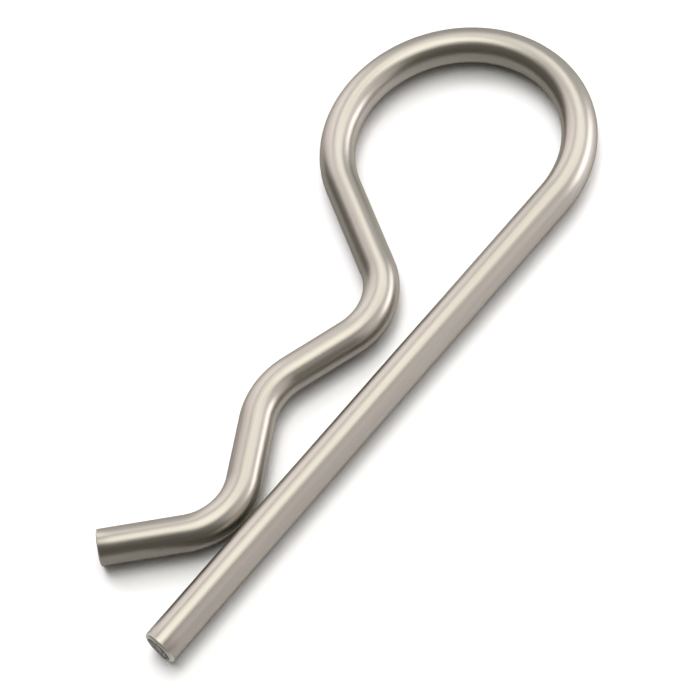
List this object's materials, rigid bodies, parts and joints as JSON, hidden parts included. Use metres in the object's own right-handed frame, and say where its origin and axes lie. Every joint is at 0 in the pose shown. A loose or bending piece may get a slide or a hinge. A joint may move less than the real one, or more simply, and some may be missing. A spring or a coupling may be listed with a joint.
{
  "type": "hitch R clip",
  "caption": "Bent round spring-wire clip: a straight leg that passes through a cross-drilled shaft, a finger loop, and a wavy leg that snaps over the shaft to lock a hitch pin.",
  "frame": {"origin": "on the wire's centreline at the root of the straight leg, where it runs into the loop", "axes": "+X along the straight leg from its tip to the loop, +Y from the straight leg to the wavy leg, +Z square to the clip's plane and up when it lies flat"},
  "size_m": [0.0823, 0.0312, 0.004],
  "materials": {
    "spring_wire": "satin drawn stainless wire"
  },
  "bodies": {
    "root": {"clip": "spring_wire"}
  },
  "joints": []
}
